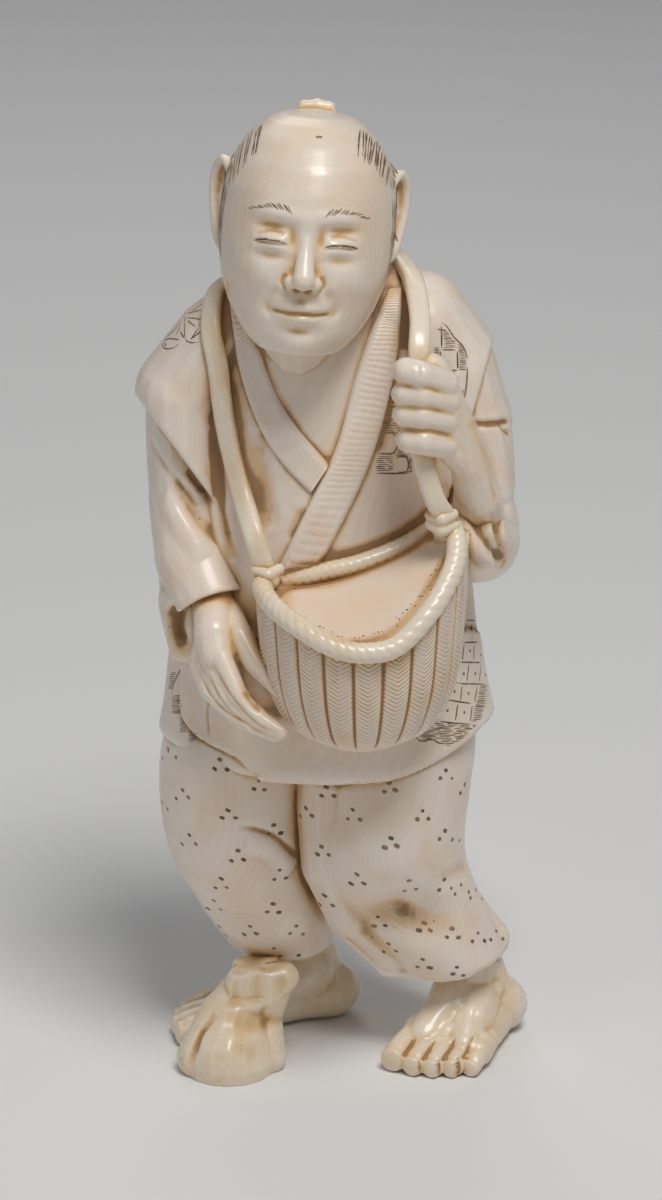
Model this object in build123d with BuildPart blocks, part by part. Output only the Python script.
from build123d import *
import math
import os

# A standing figure carved in sections: a man in a jacket and wide trousers walks with a basket on a strap.
# It faces -Y and stands on Z = 0. "Right" and "left" are the figure's own sides, so right is at -X.
# All sizes are in millimetres, and a place is (X, Y) or (X, Y, Z).

# Heights, stacked from the floor up
hem_height = 13.2
leg_length = 33.5
shin_rise, knee_rise = 7.5, 17.0
belly_rise = 14.0
chest_rise = 25.5
armhole_rise = 12.0
shoulder_rise = 11.0
nape_rise = 6.5

# Jacket: half width, half depth and centre of each level
hem_half_width, hem_half_depth, hem_centre = 23.5, 16.0, (-0.9, 6.0)
belly_half_width, belly_half_depth, belly_centre = 22.3, 15.5, (-1.0, 6.5)
chest_half_width, chest_half_depth, chest_centre = 20.0, 13.8, (-1.2, 7.5)
armhole_half_width, armhole_half_depth, armhole_centre = 20.4, 12.6, (-1.4, 8.2)
shoulder_half_width, shoulder_half_depth, shoulder_centre = 19.2, 11.6, (-1.4, 8.5)
nape_half_width, nape_half_depth, nape_centre = 13.5, 9.0, (-1.4, 9.0)

# Short cap sleeves of the jacket
cap_reach, cap_drop = 20.8, 13.0
cap_half_width, cap_half_depth = 6.0, 9.0
cap_root_inset, cap_root_drop = 3.0, 8.0
cap_bulge, cap_taper = 2.4, 1.0

# Collar bands, crossing left over right
collar_width = 6.6
collar_thickness = 1.1
collar_overlap = 0.5
collar_half_gap = 8.6
neckline_drop = 21.0
collar_tail = 16.0

# Head, with its neck as a tapered tenon
head_height = 32.6
head_half_width = 12.2
head_half_depth = 15.6
head_rise, head_forward, head_aside = 8.6, 7.6, 1.9
head_pitch, head_roll = -8.0, 5.0
neck_top_radius, neck_foot_radius = 7.6, 7.0
neck_depth, neck_reach = 9.0, 15.0
ear_height, ear_width, ear_thickness = 12.0, 7.0, 1.6
ear_bowl_depth, ear_border = 0.8, 1.3
ear_back, ear_lift, ear_inset = 2.5, 2.6, 1.4
ear_turn = 30.0
nose_length, nose_half_width, nose_height = 8.5, 2.3, 2.4
nose_drop = 3.0
topknot_length, topknot_radius = 7.0, 2.0
topknot_back, topknot_rise = 8.5, 15.2

# Sleeves
arm_root_inset, arm_root_drop = 0.8, 12.4
upper_half_width, upper_half_depth = 5.4, 7.4
elbow_half_width, elbow_half_depth = 6.0, 8.2
cuff_half_width, cuff_half_depth = 5.6, 7.6
cuff_wall, cuff_depth = 1.3, 3.5
right_elbow_drop, right_elbow_forward, right_elbow_out = 16.6, 3.0, -0.8
right_cuff_drop, right_cuff_forward, right_cuff_inset = 28.1, 11.4, 3.0
left_elbow_drop, left_elbow_forward, left_elbow_out = 19.0, 5.4, 2.8
left_cuff_rise, left_cuff_forward, left_cuff_inset = 4.6, 7.4, 1.4
left_cuff_half_width, left_cuff_half_depth = 5.6, 6.2
elbow_seat_radius = 5.4
right_cuff_slant, left_cuff_slant = (0.3, -0.6, -0.75), (-0.12, -0.61, 0.78)

# Hands
wrist_half_width, wrist_half_depth = 3.7, 2.9
palm_half_width, palm_half_depth = 4.5, 2.6
right_palm_reach = 10.0
finger_radius, finger_pitch, finger_length = 1.3, 2.25, 8.5
finger_count = 4
thumb_radius, thumb_length, thumb_start = 1.5, 6.5, 4.5
hand_tenon = 3.5
forearm_radius = 3.7
fist_half_width, fist_half_depth, fist_half_height = 4.6, 3.4, 8.8
knuckle_radius, knuckle_length, knuckle_end = 2.15, 5.6, 2.5
fist_rise, fist_inset, fist_forward = 19.2, 6.0, 7.0
wrist_rise = 3.0
palm_slant, palm_back = (0.37, -0.48, -0.79), (-0.76, -0.65, 0.04)
finger_slant = (0.8, -0.4, -0.44)
thumb_spread = 0.5

# Trousers: half width, half depth and centre at the top, the knee, the shin and the hem
right_thigh, right_thigh_centre = (11.0, 13.6), (-13.2, 6.2)
right_knee, right_knee_centre = (10.6, 12.4), (-11.8, 6.2)
right_shin, right_shin_centre = (9.4, 10.8), (-9.2, 7.4)
right_hem, right_hem_centre = (7.6, 8.4), (-6.8, 9.0)
left_thigh, left_thigh_centre = (13.0, 14.2), (8.0, 5.6)
left_knee, left_knee_centre = (11.8, 13.4), (7.5, 3.8)
left_shin, left_shin_centre = (11.2, 11.6), (11.2, 3.4)
left_hem, left_hem_centre = (9.4, 8.8), (16.6, 3.4)

# Feet
foot_reach, heel_reach = 16.0, 7.5
foot_half_width, heel_half_width = 6.5, 5.0
instep_height, ball_height, heel_height = 10.5, 4.8, 8.0
ankle_radius, ankle_tenon_radius, ankle_tenon = 4.4, 3.0, 5.0
toe_radius, big_toe_radius = 1.25, 1.7
toe_length, big_toe_length, toe_step = 3.4, 4.4, 0.6
small_toe_count = 4
right_ankle_offset, left_ankle_offset = (1.6, 2.0), (3.8, 1.6)
right_heading, left_heading = 196.0, 245.0

# Stump beside the right foot
stump_half_width, stump_half_depth = 8.0, 7.8
stump_waist_half_width, stump_waist_half_depth = 4.8, 5.2
stump_top_half_width, stump_top_half_depth = 5.6, 5.0
stump_height, stump_waist_rise = 11.4, 6.4
stump_top_slope, stump_top_roll = 14.0, -6.0
stump_waist_lean, stump_top_lean = (1.4, 0.4), (4.6, 1.6)
stump_out, stump_forward = 10.0, 16.0

# Basket: a bowl with a flat back, cut off by a slanting mouth that is hollowed out to a shallow well
basket_half_width, basket_half_depth = 14.2, 13.4
basket_belly_half_width, basket_belly_half_depth = 12.8, 12.2
basket_heel_half_width, basket_heel_half_depth = 10.2, 10.2
basket_foot_half_width, basket_foot_half_depth = 6.4, 7.4
basket_heel_rise, basket_belly_rise = 3.0, 9.0
basket_height = 26.2
basket_drop = 6.5
basket_wall = 1.7
basket_inner_depth = 2.0
basket_mouth_pitch, basket_mouth_roll = 29.0, -14.5
basket_offset, basket_stand = 4.2, 2.0
basket_bite = 0.4
stave_count, stave_start = 21, 8.2
stave_height, stave_gap = 0.6, 0.5
rim_height, rim_lip = 2.8, 0.9

# Strap: its places across the chest, as a share of the half width there, and round the nape
strap_radius = 1.45
strap_sink = 0.4
knot_radius = 2.1
strap_chest_share, strap_armhole_share, strap_shoulder_share = -0.56, -0.67, -0.78
strap_nape_half_span, strap_nape_back, strap_nape_bow = 10.5, 7.0, 2.5
strap_right_turn, strap_left_turn = (-3.5, -3.0, -1.0), (2.5, -4.0, -0.5)
strap_over_fist, strap_under_fist = (-2.0, 3.5, 2.0), (-0.5, -2.0, -2.0)
strap_bend_share = 0.45

# Pegs
hip_peg_radius, hip_peg_length = 2.5, 14.0
shoulder_peg_radius, shoulder_peg_length = 1.5, 7.0
basket_peg_radius, basket_peg_length, basket_peg_spacing = 1.2, 7.0, 9.0
stump_peg_radius, stump_peg_length, stump_peg_height = 0.9, 5.0, 2.6
peg_clearance = 0.05
peg_end_gap = 0.3

# Levels worked out from the stack
jacket_hem_z = hem_height + leg_length
belly_z = jacket_hem_z + belly_rise
chest_z = belly_z + chest_rise
armhole_z = chest_z + armhole_rise
shoulder_z = armhole_z + shoulder_rise
nape_z = shoulder_z + nape_rise

hem_level = (jacket_hem_z, hem_half_width, hem_half_depth, hem_centre)
belly_level = (belly_z, belly_half_width, belly_half_depth, belly_centre)
chest_level = (chest_z, chest_half_width, chest_half_depth, chest_centre)
armhole_level = (armhole_z, armhole_half_width, armhole_half_depth, armhole_centre)
shoulder_level = (shoulder_z, shoulder_half_width, shoulder_half_depth, shoulder_centre)
nape_level = (nape_z, nape_half_width, nape_half_depth, nape_centre)
jacket_levels = [hem_level, belly_level, chest_level, armhole_level, shoulder_level, nape_level]


def jacket_form(grow=0.0):
    """The jacket's outer shape, or a skin that stands outside it by grow."""
    with BuildPart() as form:
        for z, half_width, half_depth, (x, y) in jacket_levels:
            with BuildSketch(Plane((x, y, z))):
                Ellipse(half_width + grow, half_depth + grow)
        loft()
    return form.part


def jacket_front(level, share, stand):
    """A point on the front of the jacket at a level, a share of the half width from its middle."""
    z, half_width, half_depth, (x, y) = level
    return Vector(x + share * half_width, y - half_depth * math.sqrt(1 - share**2) - stand, z)


def limb_form(sections, across=(0, 1, 0)):
    """A tapering limb through (point, direction, half size along across, half size square to it)."""
    with BuildPart() as form:
        for point, direction, half_across, half_square in sections:
            with BuildSketch(Plane(point, x_dir=across, z_dir=direction)):
                Ellipse(half_across, half_square)
        loft()
    return form.part


def peg_form(centre, direction, radius, length):
    """A round dowel about a centre point."""
    with BuildPart() as dowel:
        with BuildSketch(Plane(centre, z_dir=direction)):
            Circle(radius)
        extrude(amount=length / 2, both=True)
    return dowel.part


def peg_hole(centre, direction, radius, length):
    """The drilled hole that takes a dowel."""
    return peg_form(centre, direction, radius + peg_clearance, length + 2 * peg_end_gap)


def digit_form(start, direction, radius, length):
    """A finger or toe: a round bar with a domed tip."""
    with BuildPart() as digit:
        with BuildSketch(Plane(start, z_dir=direction)):
            Circle(radius)
        extrude(amount=length)
        with Locations(start + direction.normalized() * length):
            Sphere(radius)
    return digit.part


# Places of the pegs
upward, sideways, frontward = Vector(0, 0, 1), Vector(1, 0, 0), Vector(0, -1, 0)
right_hip_place = (Vector(*right_thigh_centre, jacket_hem_z), upward, hip_peg_radius, hip_peg_length)
left_hip_place = (Vector(*left_thigh_centre, jacket_hem_z), upward, hip_peg_radius, hip_peg_length)
arm_peg_z = (chest_z + armhole_z) / 2
arm_peg_y = chest_centre[1]
right_arm_peg = Vector(chest_centre[0] - chest_half_width, arm_peg_y, arm_peg_z)
left_arm_peg = Vector(chest_centre[0] + chest_half_width, arm_peg_y, arm_peg_z)
right_shoulder_place = (right_arm_peg, sideways, shoulder_peg_radius, shoulder_peg_length)
left_shoulder_place = (left_arm_peg, sideways, shoulder_peg_radius, shoulder_peg_length)
belly_front = belly_centre[1] - belly_half_depth
basket_peg_places = [
    (Vector(basket_offset + x, belly_front, belly_z), frontward, basket_peg_radius, basket_peg_length)
    for x in (-basket_peg_spacing / 2, basket_peg_spacing / 2)
]

# Head and neck places
head_centre = Vector(nape_centre[0] - head_aside, nape_centre[1] - head_forward, nape_z + head_rise)
head_plane = Plane(head_centre).rotated((head_pitch, head_roll, 0))
neck_foot = Vector(nape_centre[0], nape_centre[1] - nape_half_depth / 3, nape_z - neck_depth)
neck_axis = (head_centre - neck_foot).normalized()
neck_top = neck_foot + neck_axis * neck_reach


def neck_form(grow=0.0):
    """The tapered tenon under the head."""
    foot, top = neck_foot_radius + grow, neck_top_radius + grow
    return limb_form([(neck_foot, neck_axis, foot, foot), (neck_top, neck_axis, top, top)])


# Jacket body, with cap sleeves and with the crossed collar bands standing on the chest
collar_point = Vector(nape_centre[0], nape_z - neckline_drop)


def collar_band(side, tail, thickness):
    """One collar band seen from the front, from the nape past the crossing, laid on the chest."""
    top = Vector(nape_centre[0] + side * collar_half_gap, nape_z)
    along = (collar_point - top).normalized()
    outward = Vector(-along.Y, along.X) * side
    end = collar_point + along * tail
    middle = (top + end) * 0.5 + outward * (collar_width / 2)
    slant = math.degrees(math.atan2(along.Y, along.X))
    with BuildPart() as band:
        with BuildSketch(Plane.XZ):
            with Locations(Location((middle.X, middle.Y, 0), slant)):
                Rectangle((end - top).length, collar_width)
        extrude(amount=2 * armhole_half_depth)
        add(jacket_form(thickness), mode=Mode.INTERSECT)
    return band.part


def shoulder_cap(side):
    """The short sleeve of the jacket, open over the arm."""
    root_x = nape_centre[0] + side * (nape_half_width - cap_root_inset)
    root = Vector(root_x, nape_centre[1], nape_z - cap_root_drop)
    mouth = Vector(shoulder_centre[0] + side * cap_reach, shoulder_centre[1], shoulder_z - cap_drop)
    bend = (root + mouth) * 0.5 + Vector(side * cap_bulge, 0, cap_bulge / 2)
    return limb_form(
        [
            (root, Vector(0.8 * side, 0, -0.6), cap_half_depth - cap_taper, cap_half_width),
            (bend, Vector(0.6 * side, 0, -0.8), cap_half_depth, cap_half_width),
            (mouth, Vector(0.1 * side, 0, -1), cap_half_depth, cap_half_width),
        ]
    )


with BuildPart() as jacket_body:
    add(jacket_form())
    add([shoulder_cap(-1), shoulder_cap(1)])
    add(collar_band(-1, collar_width, collar_thickness))
    add(collar_band(1, collar_tail, collar_thickness + collar_overlap))
    add(neck_form(peg_clearance), mode=Mode.SUBTRACT)
    for place in (right_hip_place, left_hip_place, right_shoulder_place, left_shoulder_place):
        add(peg_hole(*place), mode=Mode.SUBTRACT)
    for place in basket_peg_places:
        add(peg_hole(*place), mode=Mode.SUBTRACT)

# Head: a lofted skull with ears, nose and a small topknot, on the neck.
# Each level is its height, half width, half depth and set-back, as shares of the head's sizes.
skull_levels = [
    (-0.50, 0.34, 0.24, -0.50),
    (-0.40, 0.68, 0.56, -0.30),
    (-0.20, 0.95, 0.87, -0.06),
    (0.06, 1.00, 1.00, 0.06),
    (0.26, 0.93, 0.94, 0.10),
    (0.41, 0.73, 0.74, 0.12),
    (0.50, 0.24, 0.26, 0.12),
]
nose_levels = [(0.55, 0.4, 0.3), (-0.1, 0.6, 0.7), (-0.45, 1.0, 1.0)]
nose_place = (0, -0.88 * head_half_depth)

with BuildPart() as head:
    for rise, wide, deep, back in skull_levels:
        with BuildSketch(head_plane.offset(rise * head_height)):
            with Locations((0, back * head_half_depth)):
                Ellipse(wide * head_half_width, deep * head_half_depth)
    loft()
    for side in (-1, 1):
        ear_root = head_plane.from_local_coords((side * (head_half_width - ear_inset), ear_back, ear_lift))
        ear_way = (head_plane.x_dir * side).rotate(Axis((0, 0, 0), head_plane.z_dir), -side * ear_turn)
        ear_plane = Plane(ear_root, x_dir=head_plane.z_dir, z_dir=ear_way)
        with BuildSketch(ear_plane.offset(-ear_thickness)):
            Ellipse(ear_height / 2, ear_width / 2)
        extrude(amount=2 * ear_thickness)
        with BuildSketch(ear_plane.offset(ear_thickness - ear_bowl_depth)):
            Ellipse(ear_height / 2 - ear_border, ear_width / 2 - ear_border)
        extrude(amount=ear_bowl_depth, mode=Mode.SUBTRACT)
    for rise, wide, deep in nose_levels:
        with BuildSketch(head_plane.offset(rise * nose_length - nose_drop)):
            with Locations(nose_place):
                Ellipse(wide * nose_half_width, deep * nose_height)
    loft()
    topknot_place = head_plane.from_local_coords((0, topknot_back, topknot_rise))
    with BuildSketch(Plane(topknot_place, z_dir=head_plane.y_dir)):
        Circle(topknot_radius)
    extrude(amount=topknot_length / 2, both=True)
    add(neck_form())
    add(jacket_body.part, mode=Mode.SUBTRACT)

# Arms: the places of elbows and cuffs, counted from the armholes
arm_root_z = shoulder_z - arm_root_drop
right_root = Vector(armhole_centre[0] - armhole_half_width + arm_root_inset, armhole_centre[1], arm_root_z)
left_root = Vector(armhole_centre[0] + armhole_half_width - arm_root_inset, armhole_centre[1], arm_root_z)
right_elbow = right_root + Vector(-right_elbow_out, -right_elbow_forward, -right_elbow_drop)
right_cuff = right_root + Vector(right_cuff_inset, -right_cuff_forward, -right_cuff_drop)
left_elbow = left_root + Vector(left_elbow_out, -left_elbow_forward, -left_elbow_drop)
left_cuff = left_elbow + Vector(-left_cuff_inset, -left_cuff_forward, left_cuff_rise)
right_cuff_way = Vector(*right_cuff_slant).normalized()
left_cuff_way = Vector(*left_cuff_slant).normalized()


def cuff_hollow(cuff, way, half_width, half_depth):
    """The open mouth of a sleeve, narrowing inwards to the wrist."""
    mouth_depth, mouth_width = half_depth - cuff_wall, half_width - cuff_wall
    floor_depth, floor_width = (mouth_depth + wrist_half_depth) / 2, (mouth_width + wrist_half_width) / 2
    return limb_form(
        [
            (cuff + way * peg_end_gap, way, mouth_depth, mouth_width),
            (cuff - way * cuff_depth, way, floor_depth, floor_width),
        ]
    )


def wrist_tenon(cuff, way, grow=0.0):
    """The end of a forearm, let into the floor of the cuff's hollow."""
    half_depth, half_width = wrist_half_depth + grow, wrist_half_width + grow
    inner = cuff - way * (cuff_depth + hand_tenon + grow)
    return limb_form([(inner, way, half_depth, half_width), (cuff, way, half_depth, half_width)])


# Basket: bowl, slanting mouth, upright staves and a thick rim
basket_foot_z = belly_z - basket_drop
basket_back_y = belly_front + basket_bite
basket_centre = Vector(basket_offset, belly_front - basket_stand, basket_foot_z + basket_height)
mouth_plane = Plane(basket_centre).rotated((basket_mouth_pitch, basket_mouth_roll, 0))
basket_levels = [
    (0, basket_foot_half_width, basket_foot_half_depth),
    (basket_heel_rise, basket_heel_half_width, basket_heel_half_depth),
    (basket_belly_rise, basket_belly_half_width, basket_belly_half_depth),
    (basket_height, basket_half_width, basket_half_depth),
    (basket_height + basket_half_width, basket_half_width, basket_half_depth),
]


def basket_form(grow=0.0):
    """The basket's bowl before its mouth is cut, grown or shrunk all round."""
    with BuildPart() as form:
        for rise, half_width, half_depth in basket_levels:
            with BuildSketch(Plane((basket_centre.X, basket_centre.Y, basket_foot_z + rise))):
                Ellipse(half_width + grow, half_depth + grow)
        loft()
        split(bisect_by=Plane((0, basket_back_y + grow, 0), z_dir=frontward), keep=Keep.TOP)
    return form.part


with BuildPart() as stave_grooves:
    with BuildSketch(Plane((basket_centre.X, basket_centre.Y, basket_foot_z))):
        with PolarLocations(basket_half_width, stave_count, stave_start):
            Rectangle(basket_half_width, stave_gap)
    extrude(amount=basket_height + basket_half_width)
    add(basket_form(), mode=Mode.SUBTRACT)

with BuildPart() as basket_hollow:
    add(basket_form(-basket_wall))
    split(bisect_by=mouth_plane.offset(-basket_inner_depth), keep=Keep.TOP)

with BuildPart() as basket_rim:
    add(basket_form(stave_height + rim_lip))
    split(bisect_by=mouth_plane.offset(-rim_height / 2), keep=Keep.TOP)
    split(bisect_by=mouth_plane.offset(rim_height / 2), keep=Keep.BOTTOM)
    add(basket_form(-basket_wall), mode=Mode.SUBTRACT)

with BuildPart() as basket:
    add(basket_form(stave_height))
    add(stave_grooves.part, mode=Mode.SUBTRACT)
    split(bisect_by=mouth_plane, keep=Keep.BOTTOM)
    add(basket_hollow.part, mode=Mode.SUBTRACT)
    add(basket_rim.part)
    add(jacket_body.part, mode=Mode.SUBTRACT)
    for place in basket_peg_places:
        add(peg_hole(*place), mode=Mode.SUBTRACT)

# Sleeves
with BuildPart() as right_sleeve:
    add(
        limb_form(
            [
                (right_root, Vector(-0.2, 0, -1), upper_half_depth, upper_half_width),
                (right_elbow, Vector(0.05, -0.25, -1), elbow_half_depth, elbow_half_width),
                (right_cuff, right_cuff_way, cuff_half_depth, cuff_half_width),
            ]
        )
    )
    add(cuff_hollow(right_cuff, right_cuff_way, cuff_half_width, cuff_half_depth), mode=Mode.SUBTRACT)
    add(wrist_tenon(right_cuff, right_cuff_way, peg_clearance), mode=Mode.SUBTRACT)
    add(jacket_body.part, mode=Mode.SUBTRACT)
    add(peg_hole(*right_shoulder_place), mode=Mode.SUBTRACT)

with BuildPart() as left_sleeve:
    add(
        limb_form(
            [
                (left_root, Vector(0.2, 0, -1), upper_half_depth, upper_half_width),
                ((left_root + left_elbow) * 0.5, Vector(0.1, -0.2, -1), upper_half_depth, upper_half_width),
                (left_elbow, Vector(0, -0.5, -1), elbow_seat_radius, elbow_seat_radius),
            ]
        )
    )
    with Locations(left_elbow):
        Sphere(elbow_half_width)
    add(
        limb_form(
            [
                (left_elbow, left_cuff_way, elbow_seat_radius, elbow_seat_radius),
                (left_cuff, left_cuff_way, left_cuff_half_depth, left_cuff_half_width),
            ]
        )
    )
    add(cuff_hollow(left_cuff, left_cuff_way, left_cuff_half_width, left_cuff_half_depth), mode=Mode.SUBTRACT)
    add(wrist_tenon(left_cuff, left_cuff_way, peg_clearance), mode=Mode.SUBTRACT)
    add(jacket_body.part, mode=Mode.SUBTRACT)
    add(basket.part, mode=Mode.SUBTRACT)
    add(peg_hole(*left_shoulder_place), mode=Mode.SUBTRACT)

# Strap: a round band from one end of the rim over the shoulder, round the nape and down to the other end
strap_stand = strap_radius - strap_sink
rim_half_width = basket_half_width - basket_wall / 2
right_lug = mouth_plane.from_local_coords((-rim_half_width, 0, rim_height / 2))
left_lug = mouth_plane.from_local_coords((rim_half_width, 0, rim_height / 2))
nape_middle = Vector(*nape_centre, nape_z + strap_stand)
fist_centre = left_cuff + Vector(-fist_inset, -fist_forward, fist_rise)
strap_points = [
    right_lug,
    jacket_front(chest_level, strap_chest_share, strap_stand),
    jacket_front(armhole_level, strap_armhole_share, strap_stand),
    jacket_front(shoulder_level, strap_shoulder_share, strap_stand),
    nape_middle - sideways * strap_nape_half_span + Vector(*strap_right_turn),
    nape_middle + Vector(-strap_nape_half_span, strap_nape_back, 0),
    nape_middle + Vector(0, strap_nape_back + strap_nape_bow, 0),
    nape_middle + Vector(strap_nape_half_span, strap_nape_back, 0),
    nape_middle + sideways * strap_nape_half_span + Vector(*strap_left_turn),
    fist_centre + upward * fist_half_height + Vector(*strap_over_fist),
    fist_centre,
    fist_centre - upward * fist_half_height + Vector(*strap_under_fist),
    left_lug,
]
strap_runs = [end - start for start, end in zip(strap_points, strap_points[1:])]
strap_bends = [
    strap_bend_share * min(run.length, after.length) / math.tan(math.radians(run.get_angle(after) / 2))
    for run, after in zip(strap_runs, strap_runs[1:])
]


def strap_form(radius):
    """The strap's whole length as a round band."""
    with BuildPart() as band:
        with BuildLine() as route:
            FilletPolyline(*strap_points, radius=strap_bends)
        with BuildSketch(Plane(strap_points[0], z_dir=strap_runs[0])):
            Circle(radius)
        sweep(path=route.wire())
    return band.part


with BuildPart() as strap:
    add(strap_form(strap_radius))
    with Locations(right_lug, left_lug):
        Sphere(knot_radius)
    for piece in (jacket_body, basket):
        add(piece.part, mode=Mode.SUBTRACT)

# Right hand: wrist, palm, four fingers and a thumb, resting on the side of the basket
right_hand_way = Vector(*palm_slant).normalized()
right_finger_way = Vector(*finger_slant).normalized()
thumb_side = Vector(*palm_back).cross(right_hand_way).normalized()
right_knuckles = right_cuff + right_hand_way * right_palm_reach
thumb_root = right_cuff + right_hand_way * thumb_start + thumb_side * (palm_half_width - thumb_radius)

with BuildPart() as right_hand:
    add(wrist_tenon(right_cuff, right_cuff_way))
    add(
        limb_form(
            [
                (right_cuff - right_hand_way, right_hand_way, wrist_half_width, wrist_half_depth),
                (right_knuckles, right_hand_way, palm_half_width, palm_half_depth),
            ],
            across=thumb_side,
        )
    )
    for number in range(finger_count):
        shift = (number - (finger_count - 1) / 2) * finger_pitch
        finger_root = right_knuckles + thumb_side * shift - right_hand_way * finger_radius
        add(digit_form(finger_root, right_finger_way, finger_radius, finger_length))
        with Locations(finger_root):
            Sphere(finger_radius)
    add(digit_form(thumb_root, right_hand_way + thumb_side * thumb_spread, thumb_radius, thumb_length))
    for piece in (basket, jacket_body):
        add(piece.part, mode=Mode.SUBTRACT)

# Left hand: a bare forearm that rises out of the cuff to a fist closed round the strap
fist_levels = [(-1.0, 0.6, 0.7), (-0.5, 1.0, 1.0), (0.5, 1.0, 1.0), (1.0, 0.6, 0.6)]
fist_foot = fist_centre - upward * fist_half_height
knuckle_pitch = 2 * (fist_half_height - knuckle_end) / (finger_count - 1)

with BuildPart() as left_hand:
    add(wrist_tenon(left_cuff, left_cuff_way))
    add(
        limb_form(
            [
                (left_cuff - left_cuff_way, left_cuff_way, wrist_half_depth, wrist_half_width),
                (fist_foot + upward * wrist_rise, Vector(-0.2, -0.3, 1), fist_half_depth, forearm_radius),
            ]
        )
    )
    for rise, wide, deep in fist_levels:
        with BuildSketch(Plane(fist_centre + upward * rise * fist_half_height)):
            Ellipse(wide * fist_half_width, deep * fist_half_depth)
    loft()
    for number in range(finger_count):
        rise = (number - (finger_count - 1) / 2) * knuckle_pitch
        knuckle = fist_centre + Vector(knuckle_length / 2, -fist_half_depth + knuckle_radius / 2, rise)
        add(digit_form(knuckle, -sideways, knuckle_radius, knuckle_length))
        with Locations(knuckle):
            Sphere(knuckle_radius)
    for piece in (strap, basket, jacket_body, left_sleeve):
        add(piece.part, mode=Mode.SUBTRACT)


# Trousers
def leg_form(thigh, thigh_centre, knee, knee_centre, shin, shin_centre, hem, hem_centre):
    """One trouser leg from the jacket's hem to its own."""
    return limb_form(
        [
            (Vector(*hem_centre, hem_height), upward, *hem),
            (Vector(*shin_centre, hem_height + shin_rise), upward, *shin),
            (Vector(*knee_centre, hem_height + knee_rise), upward, *knee),
            (Vector(*thigh_centre, jacket_hem_z), upward, *thigh),
        ],
        across=(1, 0, 0),
    )


right_ankle = Vector(*right_hem_centre) + Vector(*right_ankle_offset)
left_ankle = Vector(*left_hem_centre) + Vector(*left_ankle_offset)


def ankle_socket(ankle):
    """The hole in a trouser leg for the tenon on top of a foot."""
    centre = ankle + upward * hem_height
    return peg_form(centre, upward, ankle_tenon_radius + peg_clearance, 2 * (ankle_tenon + peg_end_gap))


with BuildPart() as left_leg:
    left_upper = (left_thigh, left_thigh_centre, left_knee, left_knee_centre)
    add(leg_form(*left_upper, left_shin, left_shin_centre, left_hem, left_hem_centre))
    add(peg_hole(*left_hip_place), mode=Mode.SUBTRACT)
    add(ankle_socket(left_ankle), mode=Mode.SUBTRACT)

with BuildPart() as right_leg:
    right_upper = (right_thigh, right_thigh_centre, right_knee, right_knee_centre)
    add(leg_form(*right_upper, right_shin, right_shin_centre, right_hem, right_hem_centre))
    add(left_leg.part, mode=Mode.SUBTRACT)
    add(peg_hole(*right_hip_place), mode=Mode.SUBTRACT)
    add(ankle_socket(right_ankle), mode=Mode.SUBTRACT)

# Feet: a lofted foot with a flat sole, five toes, and an ankle with a tenon for the trouser leg.
# Each level is a place along the foot, a half width and a height.
foot_levels = [
    (-heel_reach, 0.6 * heel_half_width, 0.6 * heel_height),
    (-0.4 * heel_reach, heel_half_width, heel_height),
    (0.25 * foot_reach, 0.5 * (heel_half_width + foot_half_width), 0.75 * instep_height),
    (0.65 * foot_reach, 0.95 * foot_half_width, 1.35 * ball_height),
    (foot_reach, foot_half_width, 0.75 * ball_height),
]


def foot_form(ankle, heading, big_toe_side):
    """One bare foot that points along its heading, in degrees, with the big toe on one side."""
    ahead = Vector(1, 0).rotate(Axis.Z, heading)
    across = Vector(0, 1).rotate(Axis.Z, heading) * big_toe_side
    with BuildPart() as foot:
        for place, half_width, height in foot_levels:
            with BuildSketch(Plane(ankle + ahead * place, x_dir=across, z_dir=ahead)):
                Ellipse(half_width, height)
        loft()
        split(bisect_by=Plane.XY, keep=Keep.TOP)
        with BuildSketch(Plane(ankle + upward * ball_height / 2)):
            Circle(ankle_radius)
        extrude(amount=hem_height - ball_height / 2)
        with BuildSketch(Plane(ankle + upward * hem_height)):
            Circle(ankle_tenon_radius)
        extrude(amount=ankle_tenon)
        big_toe = ankle + ahead * (foot_reach - big_toe_radius) + across * (foot_half_width - big_toe_radius)
        add(digit_form(big_toe + upward * big_toe_radius, ahead, big_toe_radius, big_toe_length))
        toe_pitch = 2 * (foot_half_width - big_toe_radius - toe_radius) / small_toe_count
        for number in range(small_toe_count):
            beside = foot_half_width - 2 * big_toe_radius - toe_radius - number * toe_pitch
            toe = ankle + ahead * (foot_reach - toe_radius) + across * beside + upward * toe_radius
            add(digit_form(toe, ahead, toe_radius, toe_length - number * toe_step))
    return foot.part


stump_centre = right_ankle + Vector(-stump_out, -stump_forward)
stump_peg_centre = stump_centre + Vector(0, stump_half_depth, stump_peg_height)
stump_place = (stump_peg_centre, frontward, stump_peg_radius, stump_peg_length)

with BuildPart() as right_foot:
    add(foot_form(right_ankle, right_heading, 1))
    add(peg_hole(*stump_place), mode=Mode.SUBTRACT)

with BuildPart() as left_foot:
    add(foot_form(left_ankle, left_heading, -1))

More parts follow.
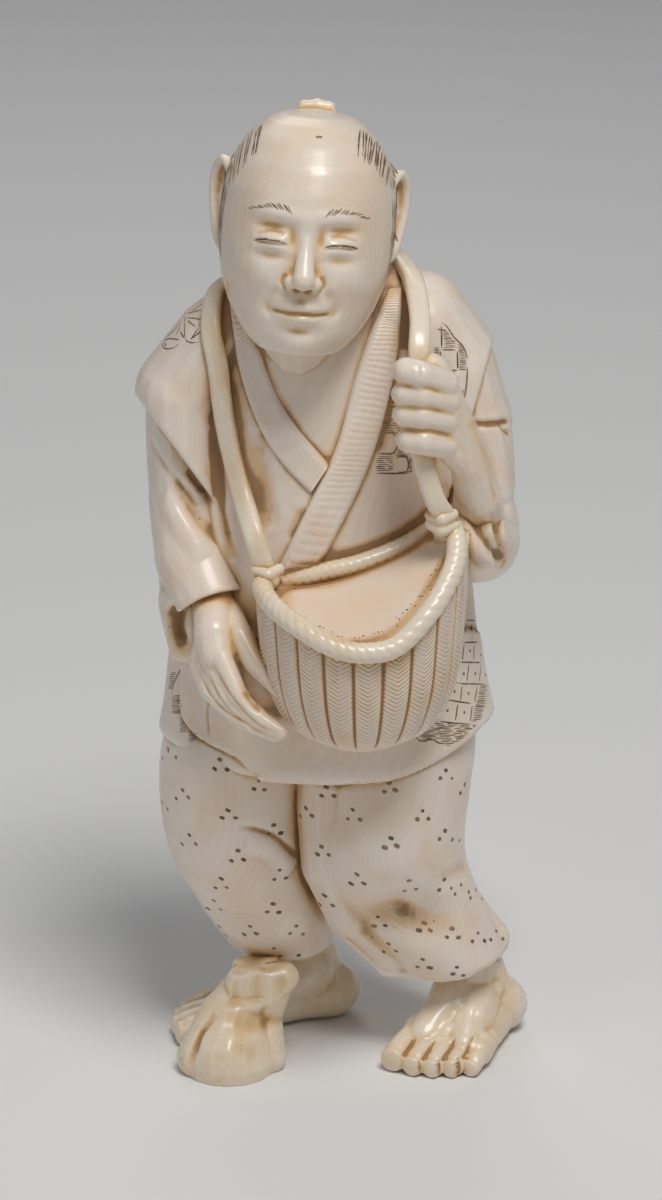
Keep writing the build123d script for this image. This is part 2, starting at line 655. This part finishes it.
# Stump: a waisted block with a slanting broken top, pegged to the side of the right foot
stump_waist = stump_centre + Vector(*stump_waist_lean, stump_waist_rise)
stump_top = stump_centre + Vector(*stump_top_lean, stump_height)
stump_end = stump_top + upward * stump_top_half_depth
stump_top_plane = Plane(stump_top).rotated((stump_top_slope, stump_top_roll, 0))

with BuildPart() as stump:
    add(
        limb_form(
            [
                (stump_centre, upward, stump_half_width, stump_half_depth),
                (stump_waist, upward, stump_waist_half_width, stump_waist_half_depth),
                (stump_top, upward, stump_top_half_width, stump_top_half_depth),
                (stump_end, upward, stump_top_half_width, stump_top_half_depth),
            ],
            across=(1, 0, 0),
        )
    )
    split(bisect_by=stump_top_plane, keep=Keep.BOTTOM)
    for piece in (right_foot, right_leg):
        add(piece.part, mode=Mode.SUBTRACT)
    add(peg_hole(*stump_place), mode=Mode.SUBTRACT)

# Pegs
with BuildPart() as right_hip_peg:
    add(peg_form(*right_hip_place))

with BuildPart() as left_hip_peg:
    add(peg_form(*left_hip_place))

with BuildPart() as right_shoulder_peg:
    add(peg_form(*right_shoulder_place))

with BuildPart() as left_shoulder_peg:
    add(peg_form(*left_shoulder_place))

with BuildPart() as basket_pegs:
    for place in basket_peg_places:
        add(peg_form(*place))

with BuildPart() as stump_peg:
    add(peg_form(*stump_place))

# The finished pieces, moved together so that the origin lies under the middle of the figure
pieces = {
    "jacket_body": jacket_body,
    "head": head,
    "right_sleeve": right_sleeve,
    "left_sleeve": left_sleeve,
    "right_hand": right_hand,
    "left_hand": left_hand,
    "right_leg": right_leg,
    "left_leg": left_leg,
    "right_foot": right_foot,
    "left_foot": left_foot,
    "stump": stump,
    "basket": basket,
    "strap": strap,
    "right_hip_peg": right_hip_peg,
    "left_hip_peg": left_hip_peg,
    "right_shoulder_peg": right_shoulder_peg,
    "left_shoulder_peg": left_shoulder_peg,
    "basket_pegs": basket_pegs,
    "stump_peg": stump_peg,
}
middle = Compound([piece.part for piece in pieces.values()]).bounding_box().center()
os.makedirs("parts", exist_ok=True)
for name, piece in pieces.items():
    piece.part.label = name
    export_step(piece.part.moved(Location((-middle.X, -middle.Y, 0))), f"parts/{name}.step")
print("moved by", round(-middle.X, 3), round(-middle.Y, 3))
print("strap bends, radius in mm:", [round(bend, 1) for bend in strap_bends])
